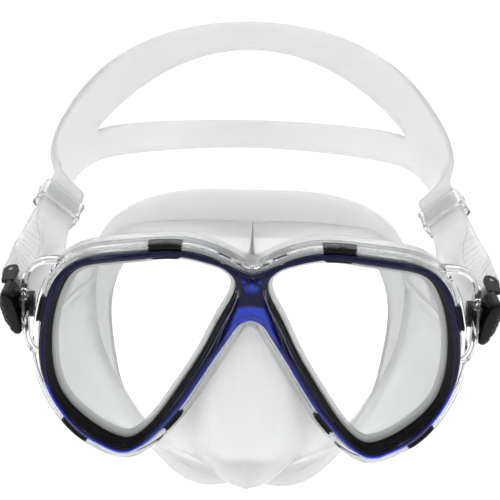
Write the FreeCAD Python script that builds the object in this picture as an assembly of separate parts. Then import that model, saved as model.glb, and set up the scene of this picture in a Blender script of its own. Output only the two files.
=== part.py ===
import FreeCAD, Part
import math
import os

from FreeCAD import Vector

# Two-lens diving mask with a swivelling strap, in millimetres.
# +X is the wearer's left, -Y is where the mask looks, +Z is up.
# The origin lies between the wearer's temples: y = 0 is the rearmost reach of the face seal
# at the sides and z = 0 is the middle height of the two eyepieces.
# Depths called "depth" are measured from the front plane of the bezel towards the wearer.

FRONT_Y = -66.0            # front plane of the bezel
WRAP = 5.0                 # each eyepiece is turned back by this many degrees

BEZEL_DEPTH = 3.2          # thickness of the blue bezel
BEZEL_RECESS = 1.0         # thickness of the bezel over the lens retainer
LENS_DEPTH = 3.3           # where the front face of the lens lies
LENS_THICKNESS = 4.0       # tempered glass
LENS_LAP = 2.5             # how far the glass reaches under the retainer
RIM = 1.2                  # silicone round the edge of the glass
SEAT = 2.0                 # silicone flange behind the glass
SEAT_LAP = 1.0             # how far the skirt wall starts inside that flange
FRAME_DEPTH = 3.4          # front face of the clear frame
FRAME_BACK = 18.0          # rear edge of the clear frame
FRAME_EDGE = 3.4           # how far the frame reaches outside the bezel
FRAME_WALL = 2.0
GAP = 0.15                 # clearance between parts that are fitted together

SKIRT_WALL = 1.8
FACE_RADIUS = 90.0         # the face seal follows an upright cylinder of this radius
FACE_TILT = 10.0 / 123.0   # and leans back towards the chin
FACE_DEPTH = 35.0          # depth of the seal at the middle of the forehead
FOREHEAD_Z = 56.0

SWIVEL_X = 86.9            # inner face of the buckle, beside the ear of the frame
SWIVEL_Y = FRONT_Y + 16.6
SWIVEL_Z = 14.0
EAR_INNER = 84.0
EAR_OUTER = 86.5

ROLLER = Vector(89.6, FRONT_Y + 28.0, 15.7)
ROLLER_RADIUS = 1.7
AXLE_RADIUS = 0.9
STRAP_THICKNESS = 2.2
STRAP_WIDTH = 16.0
TAIL_TIP_WIDTH = 8.0
BUCKLE_LEAN = 12.0         # the strap leans out at its upper edge, a little at the buckle
KEEPER_LEAN = 50.0         # and much more where it starts round the head
TWIST = (5.0, 42.0)        # it twists between these distances behind the roller
KEEPER_AT = 63.0           # distance of the keeper from the roller along the strap
KEEPER_LENGTH = 11.0
KEEPER_WALL = 1.2

# Edge of the clear view through one lens, (x, z), clockwise from the inner top corner.
EYE = [(7.0, 29.6), (10.0, 32.6), (17, 35.2), (27, 37), (42, 35.4), (58, 33), (66.6, 30),
       (71.4, 23), (75, 10), (75.4, -4), (71.8, -18), (63, -27.8), (53, -34), (45.6, -35.4),
       (40, -31.8), (29.5, -17.7), (18.2, 1.4), (10.6, 17)]

# Inner edge of the blue bezel round one eye.
BEZEL_INNER = [(6.2, 29.4), (9.6, 33.3), (17, 36.0), (27, 37.8), (42, 36.3), (58.3, 34.0),
               (67.6, 30.9), (72.6, 23.5), (76.6, 10), (77.6, -4), (75.6, -16.5),
               (67.2, -28.6), (56.5, -36.6), (46.4, -39.2), (38.6, -33.6), (27.8, -18.8),
               (16.4, 0.6), (9.0, 16.4)]

# Outer edge of the bezel on one side, from the dip over the bridge to the top of the nose.
BEZEL_OUTER = [(0, 31.8), (7, 33.9), (15.5, 37.4), (24.5, 39.5), (33.3, 39.6), (48, 38),
               (60, 36), (68.5, 32.6), (74.4, 26.5), (78.6, 14), (80.3, 1.4), (79, -11.5),
               (73.4, -24), (62.7, -35.5), (55, -39.6), (48, -41.5), (42.5, -39.4),
               (34, -31.8), (25, -20.4), (16.1, -5.7), (7.1, 8.5), (3.4, 12.9), (0, 14.2)]

# The skirt where it leaves the eyepieces, and the same wall where it meets the face.
SKIRT_FRONT = [(0, 30.5), (8, 32.6), (17, 36.0), (27, 37.8), (42, 36.2), (58.3, 33.8),
               (67.2, 30.6), (72.2, 23.3), (75.8, 10), (76.2, -4.2), (72.5, -18.4),
               (63.5, -28.5), (53.2, -34.8), (45.4, -36.2), (39.3, -32.3), (28.8, -18.1),
               (17.4, 1.0), (7.5, 13.5), (0, 16.5)]
SKIRT_FACE = [(0, 43.5), (20, 42.6), (38, 39.5), (50, 35), (57, 27), (61.5, 14), (62, 0),
              (59.5, -15), (53, -29), (45, -41), (34, -53), (18, -65), (0, -63)]

# The sealing lip on the face: its outer and inner edges.
LIP_OUTER = [(0, 56.2), (15, 56), (30, 53.5), (45, 47), (53, 40.5), (60, 30), (64, 16),
             (65, 2), (63, -13), (58, -28), (50.5, -42.5), (39, -56.5), (20, -69.5), (0, -66)]
LIP_INNER = [(0, 37), (20, 36), (36, 32), (47, 25.5), (53, 14), (55, 2), (54.3, -10),
             (52, -24), (48, -38), (40, -50), (28, -57), (16, -59.5), (0, -57)]
LIP_THICKNESS = 1.3

# Nose pocket: height, half width and depth of its front at each level.
NOSE_LEVELS = [(9, 2.6, 9.5), (-6, 10, 4), (-20, 15, -1), (-32, 17.6, -5), (-42, 18, -6),
               (-49, 15, -4), (-53, 9, 2)]
NOSE_BACK = 40.0

# Snap tabs of one lens retainer: middle (x, z) and length.
SNAP_TABS = [(33, 39.6, 12.5), (78.6, 14, 10), (30, -27, 9.5), (66, -32.5, 12)]
TAB_GAP = 1.2              # clear of the silicone round the glass
TAB_THICKNESS = 1.2
TAB_END = 11.0

MIRROR = Vector(1, 0, 0)
UP = Vector(0, 0, 1)


# ---------------------------------------------------------------- outlines

def spline_curve(points, closed):
    curve = Part.BSplineCurve()
    curve.interpolate([Vector(x, 0, z) for x, z in points], PeriodicFlag=closed)
    return curve


def offset_points(points, distance, closed, count=90):
    """Points at a fixed distance outside a clockwise outline."""
    curve = spline_curve(points, closed)
    first, last = curve.FirstParameter, curve.LastParameter
    steps = count if closed else count - 1
    result = []
    for i in range(count):
        u = first + (last - first) * i / steps
        along = curve.tangent(u)[0]
        place = curve.value(u)
        result.append((place.x - along.z * distance, place.z + along.x * distance))
    return result


def closed_wire(points, distance=0.0):
    if distance:
        points = offset_points(points, distance, True)
    return Part.Wire([spline_curve(points, True).toShape()])


def half_wire(points, distance=0.0, reach=-6.0):
    """An outline that starts and ends at the middle, closed off beyond the middle plane."""
    if distance:
        points = offset_points(points, distance, False)
    top = Vector(reach, 0, points[0][1])
    bottom = Vector(reach, 0, points[-1][1])
    start = Vector(points[0][0], 0, points[0][1])
    end = Vector(points[-1][0], 0, points[-1][1])
    return Part.Wire([Part.LineSegment(top, start).toShape(),
                      spline_curve(points, False).toShape(),
                      Part.LineSegment(end, bottom).toShape(),
                      Part.LineSegment(bottom, top).toShape()])


def plate(wire, near, far):
    """A flat plate between two depths."""
    solid = Part.Face(wire).extrude(Vector(0, far - near, 0))
    solid.translate(Vector(0, FRONT_Y + near, 0))
    return solid


def eye_ring(outer, inner, near, far):
    return plate(closed_wire(*outer), near, far).cut(plate(closed_wire(*inner), near - 1, far + 1))


def wrapped(shape):
    """Turn one eyepiece back round the nose."""
    turned = shape.copy()
    turned.rotate(Vector(0, FRONT_Y, 0), UP, WRAP)
    return turned


def mirrored(shape):
    return shape.mirror(Vector(0, 0, 0), MIRROR)


def both_sides(shape):
    """Cut a half at the middle plane and join it to its mirror image."""
    keep = Part.makeBox(200, 400, 400, Vector(0, -200, -200))
    half = shape.common(keep)
    whole = half.fuse(mirrored(half)).removeSplitter()
    return whole


def single(shape):
    """The one solid in a result."""
    solids = sorted(shape.Solids, key=lambda s: s.Volume)
    return solids[-1]


# ---------------------------------------------------------------- front parts

def bezel():
    back = plate(half_wire(BEZEL_OUTER), 0, BEZEL_DEPTH)
    sight = plate(closed_wire(BEZEL_INNER), -1, BEZEL_DEPTH + 1)
    recess = plate(closed_wire(BEZEL_INNER, 1.3), BEZEL_RECESS, BEZEL_DEPTH + 1)
    half = back.cut(sight).cut(recess)
    for tab in tab_boxes(1.0):
        notch = plate(half_wire(BEZEL_OUTER, 1.0), BEZEL_DEPTH - 1.1, BEZEL_DEPTH + 1)
        half = half.cut(notch.common(tab))
    return single(both_sides(wrapped(half)))


def tab_boxes(extra):
    """A box round each snap tab, turned to follow the edge of the bezel."""
    curve = spline_curve(BEZEL_OUTER, False)
    boxes = []
    for x, z, length in SNAP_TABS:
        along = curve.tangent(curve.parameter(Vector(x, 0, z)))[0]
        angle = math.degrees(math.atan2(-along.z, along.x))
        span = length + extra
        box = Part.makeBox(span, 40, 12, Vector(-span / 2, FRONT_Y - 5, -8))
        box.rotate(Vector(0, 0, 0), Vector(0, 1, 0), angle)
        box.translate(Vector(x, 0, z))
        boxes.append(box)
    return boxes


def lens_retainer():
    ring = eye_ring((BEZEL_INNER, 1.1), (EYE,), BEZEL_RECESS + 0.1, BEZEL_DEPTH)
    hood = eye_ring((BEZEL_INNER, -0.15), (EYE,), 0.5, BEZEL_RECESS + 0.1)
    body = ring.fuse(hood)
    band = plate(half_wire(BEZEL_OUTER, TAB_GAP + TAB_THICKNESS), BEZEL_DEPTH - 0.9, TAB_END)
    band = band.cut(plate(half_wire(BEZEL_OUTER, TAB_GAP), BEZEL_DEPTH, TAB_END + 1))
    band = band.cut(plate(closed_wire(BEZEL_INNER, 0.5), 0, TAB_END + 1))
    for box in tab_boxes(0):
        body = body.fuse(band.common(box))
    return single(wrapped(body.removeSplitter()))


def lens():
    blank = plate(closed_wire(EYE, LENS_LAP), LENS_DEPTH, LENS_DEPTH + LENS_THICKNESS)
    return single(wrapped(blank))


def skirt_body(grow, start):
    """The skirt between the eyepieces and the face, filled in; start is its front edge,
    measured from the back of the eye seats."""
    front = evenly(SKIRT_FRONT)
    face = evenly(SKIRT_FACE)
    depth = LENS_DEPTH + LENS_THICKNESS + SEAT + start
    turn = math.radians(WRAP)
    back_depth = 76.0
    far = []
    for (x1, z1), (x2, z2) in zip(front, face):
        near_x = x1 * math.cos(turn) - depth * math.sin(turn)
        near_depth = x1 * math.sin(turn) + depth * math.cos(turn)
        face_depth = FACE_DEPTH + (FOREHEAD_Z - z2) * FACE_TILT
        face_depth += FACE_RADIUS - math.sqrt(FACE_RADIUS ** 2 - x2 ** 2)
        stretch = (back_depth - near_depth) / (face_depth - near_depth)
        far.append((max(0.0, near_x + (x2 - near_x) * stretch), z1 + (z2 - z1) * stretch))
    near_wire = half_wire(offset_points(front, grow, False, len(front)))
    near_wire.translate(Vector(0, FRONT_Y + depth, 0))
    near_wire.rotate(Vector(0, FRONT_Y, 0), UP, WRAP)
    far_wire = half_wire(offset_points(far, grow, False, len(far)))
    far_wire.translate(Vector(0, FRONT_Y + back_depth, 0))
    return Part.makeLoft([near_wire, far_wire], True, True)


def evenly(points, count=25):
    """Points at equal steps along an outline, so that two outlines can be joined."""
    curve = spline_curve(points, False)
    return [(p.x, p.z) for p in curve.toShape().discretize(Number=count)]


def nose_body(shrink):
    sections = []
    for z, half_width, front in NOSE_LEVELS:
        across = half_width - shrink
        if across < 0.6:
            continue
        middle = (front + NOSE_BACK) / 2
        reach = (NOSE_BACK - front) / 2 - shrink
        level = z + (shrink if z == NOSE_LEVELS[-1][0] else 0)
        long_way = Part.Ellipse(Vector(0, 0, 0), reach, across)
        section = Part.Wire([long_way.toShape()])
        section.rotate(Vector(0, 0, 0), UP, 90)
        section.translate(Vector(0, FRONT_Y + middle, level))
        sections.append(section)
    return Part.makeLoft(sections, True, False)


def face_solid(offset):
    """Everything behind the wearer's face, moved forward by the offset."""
    middle_y = FRONT_Y + FACE_DEPTH + FACE_RADIUS
    column = Part.makeCylinder(FACE_RADIUS + offset, 400, Vector(0, middle_y, FOREHEAD_Z - 200))
    lean = math.degrees(math.atan(FACE_TILT))
    column.rotate(Vector(0, middle_y - FACE_RADIUS, FOREHEAD_Z), Vector(1, 0, 0), lean)
    return column


def lip():
    """The soft edge that lies on the face, turned inwards and outwards from the wall."""
    skin = face_solid(LIP_THICKNESS).cut(face_solid(0))
    outline = half_wire(LIP_OUTER)
    opening = half_wire(LIP_INNER)
    band = plate(outline, 10, 90).cut(plate(opening, 5, 95))
    return skin.common(band)


def skirt():
    seat_end = LENS_DEPTH + LENS_THICKNESS + SEAT
    eye_hole = wrapped(plate(closed_wire(EYE, -1.45), 0, 14))
    outer = both_sides(skirt_body(0, -SEAT_LAP)).fuse(nose_body(0))
    inner = both_sides(skirt_body(-SKIRT_WALL, SKIRT_WALL)).fuse(nose_body(SKIRT_WALL))
    wall = outer.cut(inner).cut(face_solid(0))
    wall = wall.cut(eye_hole).cut(mirrored(eye_hole))
    edge = both_sides(lip())
    rim_outer = LENS_LAP + GAP + RIM
    seat = eye_ring((EYE, rim_outer), (EYE, -1.9), LENS_DEPTH + LENS_THICKNESS, seat_end)
    rim = eye_ring((EYE, rim_outer), (EYE, LENS_LAP + GAP), FRAME_DEPTH, seat_end - 1)
    mounting = wrapped(seat.fuse(rim))
    whole = wall.fuse([edge, mounting, mirrored(mounting)]).removeSplitter()
    return single(whole)


# ---------------------------------------------------------------- clear frame

EAR_REACH = 7.5            # radius of the bracket round the swivel
EAR_DEPTH = 10.0           # depth of the middle of the bracket's front limb
EAR_HALF = 3.0             # half the width of that limb
EAR_TOP = 32.0
EAR_BOTTOM = -2.0
EAR_TIE = 4.0              # height of the ties from the bracket to the frame
UPPER_TIE = 14.0           # their lengths
LOWER_TIE = 8.0
EAR_WINDOW = 2.0           # radius of the hole above the swivel
EAR_ROUNDING = 1.5


def ear():
    """A bracket at the side that carries the strap swivel."""
    axis = Vector(0, SWIVEL_Y, SWIVEL_Z)
    across = Vector(EAR_INNER, 0, 0)
    thickness = EAR_OUTER - EAR_INNER
    front_y = FRONT_Y + EAR_DEPTH - EAR_HALF
    rear_y = FRONT_Y + EAR_DEPTH + EAR_HALF
    boss = Part.makeCylinder(EAR_REACH, thickness, axis + across, MIRROR)
    upper_tangent = across + axis + Vector(0, 2, EAR_REACH - 0.3)
    lower_tangent = across + axis + Vector(0, 3, 0.7 - EAR_REACH)
    slope = Part.makePolygon([upper_tangent, across + Vector(0, rear_y + 1, EAR_TOP),
                              across + Vector(0, front_y, EAR_TOP),
                              across + Vector(0, front_y, EAR_BOTTOM),
                              across + Vector(0, rear_y, EAR_BOTTOM),
                              lower_tangent, upper_tangent])
    side = Part.Face(slope).extrude(Vector(thickness, 0, 0))
    upper = Part.makeBox(UPPER_TIE, 2 * EAR_HALF + 1, EAR_TIE,
                         Vector(EAR_OUTER - UPPER_TIE, front_y, EAR_TOP - EAR_TIE))
    lower = Part.makeBox(LOWER_TIE, 2 * EAR_HALF, EAR_TIE,
                         Vector(EAR_OUTER - LOWER_TIE, front_y, EAR_BOTTOM))
    window_centre = Vector(EAR_INNER - 2, FRONT_Y + EAR_DEPTH + 1, EAR_TOP - 6.5)
    window = Part.makeCylinder(EAR_WINDOW, 10, window_centre, MIRROR)
    body = boss.fuse([side, upper, lower]).cut(window).removeSplitter()
    corners = [e for e in body.Edges
               if abs(e.CenterOfMass.x - EAR_OUTER) < 0.01 and e.Length > 5 and
               abs(abs(e.tangentAt(e.FirstParameter).y) - 1) < 0.01]
    return body.makeFillet(EAR_ROUNDING, corners)


def main_frame():
    outer = plate(half_wire(BEZEL_OUTER, FRAME_EDGE), FRAME_DEPTH, FRAME_BACK)
    hollow = plate(half_wire(BEZEL_OUTER, FRAME_EDGE - FRAME_WALL), FRAME_DEPTH + 2, FRAME_BACK + 1)
    shell = outer.cut(hollow)
    pocket_edge = LENS_LAP + GAP + RIM + GAP
    pocket = eye_ring((EYE, pocket_edge + 1.5), (EYE, pocket_edge), FRAME_DEPTH, 10.9)
    ledge = eye_ring((EYE, pocket_edge + 1.5), (EYE, 1.2), 9.45, 10.9)
    half = shell.fuse([pocket, ledge])
    half = half.cut(plate(closed_wire(EYE, pocket_edge), FRAME_DEPTH - 1, 9.45))
    slot = plate(half_wire(BEZEL_OUTER, TAB_GAP + TAB_THICKNESS + GAP), FRAME_DEPTH - 1, TAB_END + 0.5)
    slot = slot.cut(plate(half_wire(BEZEL_OUTER, TAB_GAP - GAP), FRAME_DEPTH - 2, TAB_END + 1))
    for box in tab_boxes(2 * GAP):
        half = half.cut(slot.common(box))
    half = wrapped(half)
    # Room in the wall for the skirt where it passes behind the bridge and beside the nose.
    half = half.cut(skirt_body(0.35, -SEAT_LAP - 0.35))
    half = half.cut(nose_body(-0.5))
    bracket = ear().cut(wrapped(plate(half_wire(BEZEL_OUTER, FRAME_EDGE - 1), 0, FRAME_BACK + 20)))
    half = half.fuse(bracket)
    hole = Part.makeCylinder(2.55, 12, Vector(EAR_INNER - 5, SWIVEL_Y, SWIVEL_Z), MIRROR)
    return single(both_sides(half).cut(hole).cut(mirrored(hole)))


# ---------------------------------------------------------------- strap line

def unit(vector):
    result = Vector(vector)
    result.normalize()
    return result


# Direction of the strap at the wearer's left, from the buckle to the rear.
ALONG = unit(Vector(-0.17, 0.94, 0.30))


def strap_axes(along):
    """Directions across the strap, towards its upper edge, and out from it."""
    share = min(1.0, max(0.0, (along - TWIST[0]) / (TWIST[1] - TWIST[0])))
    share = share * share * (3 - 2 * share)
    lean = math.radians(BUCKLE_LEAN + (KEEPER_LEAN - BUCKLE_LEAN) * share)
    across = Vector(math.sin(lean), 0, math.cos(lean))
    across = unit(across - ALONG * across.dot(ALONG))
    return across, unit(ALONG.cross(across))


def strap_point(along, out, across=0.0):
    over, outward = strap_axes(along)
    return ROLLER + ALONG * along + outward * out + over * across


def strap_block(along, out, across):
    """A box in the strap's own directions; each argument is a (low, high) pair."""
    over, outward = strap_axes((along[0] + along[1]) / 2)
    corner = ROLLER + ALONG * along[0] + outward * out[0] + over * across[0]
    edges = [ALONG * (along[1] - along[0]), outward * (out[1] - out[0])]
    outline = [corner, corner + edges[0], corner + edges[0] + edges[1], corner + edges[1], corner]
    return Part.Face(Part.makePolygon(outline)).extrude(over * (across[1] - across[0]))


def strap_rod(radius, low, high):
    """A round bar along the axis of the roller."""
    return Part.makeCylinder(radius, high - low, strap_point(0, 0, low), strap_axes(0)[0])


# Middle line of the strap end, from the tip of the tail through the keeper to the roller
# and back through the keeper: distance along and distance out.
END_LOOP = [(88, 7.0), (79, 3.0), (71, 1.5), (62, 1.45), (53, 1.6), (42, 3.1), (28, 5.0),
            (13, 4.7), (0, 3.3), (-3.3, 0), (0, -3.5), (9, -7.2), (23, -8.8), (40, -4.6),
            (53, -1.6), (62, -1.45), (70, -1.45)]
TAIL_FROM = 70.0           # the tail narrows from here to its tip
END_STEPS = 90
HEAD_STEPS = 20

# Upper and lower edges of the part round the head, at the wearer's left: x, depth, z.
LOOP_UPPER = [(84.0, 112, 50.0), (81.0, 138, 61.0), (62.5, 181, 77.0), (34, 210, 86.0),
              (0, 221, 88.5)]
LOOP_LOWER = [(76.4, 114, 30.0), (76.0, 142, 31.8), (60.0, 185, 32.0), (31, 207, 30.5),
              (0, 215, 30.0)]


def strap_section(top, bottom, side):
    """Four corners of the strap at one place, outer face first."""
    return [top + side, bottom + side, bottom - side, top - side]


def end_sections():
    path = Part.BSplineCurve()
    path.interpolate([Vector(a, o, 0) for a, o in END_LOOP])
    sections = []
    for i in range(END_STEPS + 1):
        u = path.FirstParameter + (path.LastParameter - path.FirstParameter) * i / END_STEPS
        place = path.value(u)
        travel = path.tangent(u)[0]
        over, outward = strap_axes(place.x)
        width = STRAP_WIDTH
        if place.x > TAIL_FROM and place.y > 0:
            share = (place.x - TAIL_FROM) / (END_LOOP[0][0] - TAIL_FROM)
            width -= (STRAP_WIDTH - TAIL_TIP_WIDTH) * share * share
        middle = ROLLER + ALONG * place.x + outward * place.y
        side = (outward * travel.x - ALONG * travel.y) * (STRAP_THICKNESS / 2)
        edge = over * (width / 2)
        sections.append(strap_section(middle + edge, middle - edge, side))
    return sections


def head_sections():
    """The wide part that goes round the head, from a keeper to the middle of the back."""
    edges = []
    for across, rest in ((STRAP_WIDTH / 2, LOOP_UPPER), (-STRAP_WIDTH / 2, LOOP_LOWER)):
        start = [strap_point(a, END_LOOP[-1][1], across) for a in (70, 76)]
        left = start + [Vector(x, FRONT_Y + d, z) for x, d, z in rest]
        right = [Vector(-p.x, p.y, p.z) for p in reversed(left[:-1])]
        edge = Part.BSplineCurve()
        edge.interpolate(left + right)
        edges.append(edge)
    upper, lower = edges
    sections = []
    for i in range(1, HEAD_STEPS + 1):
        share = i / HEAD_STEPS / 2
        u = upper.FirstParameter + (upper.LastParameter - upper.FirstParameter) * share
        v = lower.FirstParameter + (lower.LastParameter - lower.FirstParameter) * share
        top, bottom = upper.value(u), lower.value(v)
        travel = unit(upper.tangent(u)[0] + lower.tangent(v)[0])
        side = unit(travel.cross(top - bottom)) * (STRAP_THICKNESS / 2)
        sections.append(strap_section(top, bottom, side))
    return sections


def crescent():
    """The opening between the upper and lower bands at the back of the head."""
    corner = 69.0
    left, right = Vector(-corner, 0, 47.5), Vector(corner, 0, 47.5)
    top = Part.Arc(left, Vector(0, 0, 75.4), right).toShape()
    bottom = Part.Arc(left, Vector(0, 0, 43.0), right).toShape()
    shape = Part.Face(Part.Wire([top, bottom])).extrude(Vector(0, 130, 0))
    shape.translate(Vector(0, FRONT_Y + 120, 0))
    return shape


def strap():
    half = end_sections() + head_sections()
    other = [[Vector(-p.x, p.y, p.z) for p in corners] for corners in reversed(half[:-1])]
    outlines = [Part.makePolygon(corners + corners[:1]) for corners in half + other]
    return single(Part.makeLoft(outlines, True, False).cut(crescent()))


KEEPER_ROOM = 0.6          # beside the strap on each side
KEEPER_HALF_GAP = 3.0      # room for two layers of strap
KEEPER_ROUNDING = 1.6


def keeper():
    half_width = STRAP_WIDTH / 2 + KEEPER_ROOM
    half_gap = KEEPER_HALF_GAP
    span = (KEEPER_AT - KEEPER_LENGTH / 2, KEEPER_AT + KEEPER_LENGTH / 2)
    outside = strap_block(span, (-half_gap - KEEPER_WALL, half_gap + KEEPER_WALL),
                          (-half_width - KEEPER_WALL, half_width + KEEPER_WALL))
    edges = [e for e in outside.Edges if abs(unit(e.tangentAt(e.FirstParameter)).dot(ALONG)) > 0.9]
    outside = outside.makeFillet(KEEPER_ROUNDING, edges)
    passage = strap_block((span[0] - 1, span[1] + 1), (-half_gap, half_gap),
                          (-half_width, half_width))
    return single(outside.cut(passage))


# ---------------------------------------------------------------- buckle

CHEEK_INNER = 8.4
CHEEK_OUTER = 10.0
CHEEK_HALF = 3.0
BLOCK = (-17.5, -5.6)
BLOCK_OUT = (-4.6, 1.6)
BUTTON = (-14.6, -8.2)
BUTTON_HALF = 4.8
BUTTON_FLOOR = -1.6
BUTTON_BOTTOM = 0.2
BUTTON_TOP = 2.6
PIN_RADIUS = 2.5
SPRING_WIRE = 0.2
SPRING_RADIUS = 1.3
SEAT_DEPTH = 0.6
BLOCK_ROUNDING = 1.5
BOSS_RADIUS = 6.0          # boss that turns on the swivel pin
BOSS_HEIGHT = 3.5
ROOM_RADIUS = 17.0         # the block is cut back to clear the ear while it turns
RIB_COUNT = 4              # finger grips
RIB_HEIGHT = 0.5
HOUSING_RIB_FIRST = -7.4
HOUSING_RIB_STEP = 3.9
HOUSING_RIB_WIDTH = 1.4
BUTTON_RIB_FIRST = -4.1
BUTTON_RIB_STEP = 2.3
BUTTON_RIB_WIDTH = 1.2
RETAINER_RADIUS = 5.0
RETAINER_HEIGHT = 1.5
PIN_OVERHANG = 2.0         # how far the pin stands out at both ends


def cheek(low, high):
    """One side of the buckle, which holds an end of the roller's axle."""
    body = strap_block((BLOCK[1] - 2, 0), (-CHEEK_HALF, CHEEK_HALF), (low, high))
    return body.fuse(strap_rod(CHEEK_HALF, low, high))


def buckle_housing():
    block = strap_block(BLOCK, BLOCK_OUT, (-CHEEK_OUTER, CHEEK_OUTER))
    edges = [e for e in block.Edges if abs(unit(e.tangentAt(e.FirstParameter)).dot(ALONG)) < 0.1]
    block = block.makeFillet(BLOCK_ROUNDING, edges)
    axis = Vector(SWIVEL_X, SWIVEL_Y, SWIVEL_Z)
    room = Part.makeCylinder(ROOM_RADIUS, 12, axis - Vector(12, 0, 0), MIRROR)
    block = block.cut(room)
    boss = Part.makeCylinder(BOSS_RADIUS, BOSS_HEIGHT, axis, MIRROR)
    body = block.fuse([cheek(CHEEK_INNER, CHEEK_OUTER), cheek(-CHEEK_OUTER, -CHEEK_INNER), boss])
    for i in range(RIB_COUNT):
        place = HOUSING_RIB_FIRST + HOUSING_RIB_STEP * i
        body = body.fuse(strap_block((BLOCK[0] + 0.4, BUTTON[0] - 0.6),
                                     (BLOCK_OUT[1] - 0.3, BLOCK_OUT[1] + RIB_HEIGHT),
                                     (place, place + HOUSING_RIB_WIDTH)))
    well = strap_block((BUTTON[0] - GAP, BUTTON[1] + GAP), (BUTTON_FLOOR, 8),
                       (-BUTTON_HALF - GAP, BUTTON_HALF + GAP))
    bore = Part.makeCylinder(PIN_RADIUS, 3.0, axis - Vector(1, 0, 0), MIRROR)
    axle_bore = strap_rod(AXLE_RADIUS, -CHEEK_OUTER - 1, CHEEK_OUTER + 1)
    return single(body.cut(well).cut(bore).cut(axle_bore).removeSplitter())


def release_button():
    middle = (BUTTON[0] + BUTTON[1]) / 2
    body = strap_block(BUTTON, (BUTTON_BOTTOM, BUTTON_TOP), (-BUTTON_HALF, BUTTON_HALF))
    for i in range(RIB_COUNT):
        place = BUTTON_RIB_FIRST + BUTTON_RIB_STEP * i
        body = body.fuse(strap_block((BUTTON[0] + 0.6, BUTTON[1] - 0.6),
                                     (BUTTON_TOP - 0.1, BUTTON_TOP + RIB_HEIGHT - 0.1),
                                     (place, place + BUTTON_RIB_WIDTH)))
    seat = Part.makeCylinder(SPRING_RADIUS + 0.4, SEAT_DEPTH, strap_point(middle, BUTTON_BOTTOM),
                             strap_axes(middle)[1])
    return single(body.cut(seat).removeSplitter())


def button_spring():
    height = BUTTON_BOTTOM + SEAT_DEPTH - BUTTON_FLOOR - 2 * SPRING_WIRE - 0.06
    helix = Part.makeHelix(height / 3, height, SPRING_RADIUS)
    profile = Part.Wire([Part.makeCircle(SPRING_WIRE, Vector(SPRING_RADIUS, 0, 0),
                                         Vector(0, 1, 0))])
    coil = Part.Wire(helix).makePipeShell([profile], True, True)
    middle = (BUTTON[0] + BUTTON[1]) / 2
    turn = FreeCAD.Rotation(UP, strap_axes(middle)[1])
    base = strap_point(middle, BUTTON_FLOOR + SPRING_WIRE + 0.03)
    coil.Placement = FreeCAD.Placement(base, turn)
    return coil


def swivel_pin():
    inner_end = EAR_INNER - PIN_OVERHANG
    shaft = Part.makeCylinder(PIN_RADIUS, SWIVEL_X + PIN_OVERHANG - inner_end,
                              Vector(inner_end, SWIVEL_Y, SWIVEL_Z), MIRROR)
    return single(shaft)


def swivel_retainer():
    base = Vector(EAR_INNER - RETAINER_HEIGHT - 0.2, SWIVEL_Y, SWIVEL_Z)
    disc = Part.makeCylinder(RETAINER_RADIUS, RETAINER_HEIGHT, base, MIRROR)
    return single(disc.cut(Part.makeCylinder(PIN_RADIUS, 3, base - Vector(1, 0, 0), MIRROR)))


def strap_roller():
    half = CHEEK_INNER - 0.2
    return single(strap_rod(ROLLER_RADIUS, -half, half).cut(
        strap_rod(AXLE_RADIUS + 0.05, -CHEEK_OUTER, CHEEK_OUTER)))


def roller_axle():
    return strap_rod(AXLE_RADIUS, -CHEEK_OUTER, CHEEK_OUTER)


# ---------------------------------------------------------------- files

def write(name, shape):
    shape.exportStep("parts/%s.step" % name)
    print(name, shape.ShapeType, len(shape.Solids), round(shape.Volume), shape.isValid())


def write_pair(name, shape):
    write("left_" + name, shape)
    write("right_" + name, mirrored(shape))


os.makedirs("parts", exist_ok=True)
write("front_bezel", bezel())
write("main_frame", main_frame())
write("skirt", skirt())
write("strap", strap())
write_pair("lens", lens())
write_pair("lens_retainer", lens_retainer())
write_pair("strap_keeper", keeper())
write_pair("buckle_housing", buckle_housing())
write_pair("release_button", release_button())
write_pair("button_spring", button_spring())
write_pair("swivel_pin", swivel_pin())
write_pair("swivel_retainer", swivel_retainer())
write_pair("strap_roller", strap_roller())
write_pair("roller_axle", roller_axle())
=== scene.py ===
import math

import bmesh
import bpy
import numpy as np
from mathutils import Matrix, Vector


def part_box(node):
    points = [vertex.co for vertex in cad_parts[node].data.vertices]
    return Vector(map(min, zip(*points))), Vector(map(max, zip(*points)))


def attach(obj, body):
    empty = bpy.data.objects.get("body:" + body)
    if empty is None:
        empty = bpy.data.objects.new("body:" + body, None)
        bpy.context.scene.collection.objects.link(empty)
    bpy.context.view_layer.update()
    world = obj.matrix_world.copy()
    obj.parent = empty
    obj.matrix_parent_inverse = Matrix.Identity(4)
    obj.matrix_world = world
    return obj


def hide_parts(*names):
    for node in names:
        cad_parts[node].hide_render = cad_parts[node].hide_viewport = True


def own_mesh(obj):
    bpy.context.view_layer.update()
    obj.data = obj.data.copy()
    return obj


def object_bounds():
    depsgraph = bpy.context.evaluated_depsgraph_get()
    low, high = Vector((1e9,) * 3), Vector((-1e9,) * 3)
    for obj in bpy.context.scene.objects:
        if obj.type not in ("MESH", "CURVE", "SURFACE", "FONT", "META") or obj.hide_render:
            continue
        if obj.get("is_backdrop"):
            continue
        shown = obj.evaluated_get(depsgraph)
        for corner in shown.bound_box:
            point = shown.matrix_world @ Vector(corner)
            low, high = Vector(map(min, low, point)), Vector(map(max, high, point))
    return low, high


# Looks of the diving mask. Shapes are laid out in millimetres, in the CAD part's own frame
# (+X the wearer's left, -Y the way the mask looks, +Z up), and turned into metres once, when a
# mesh is made. "Depth" is measured from the front plane of the bezel towards the wearer.

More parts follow.
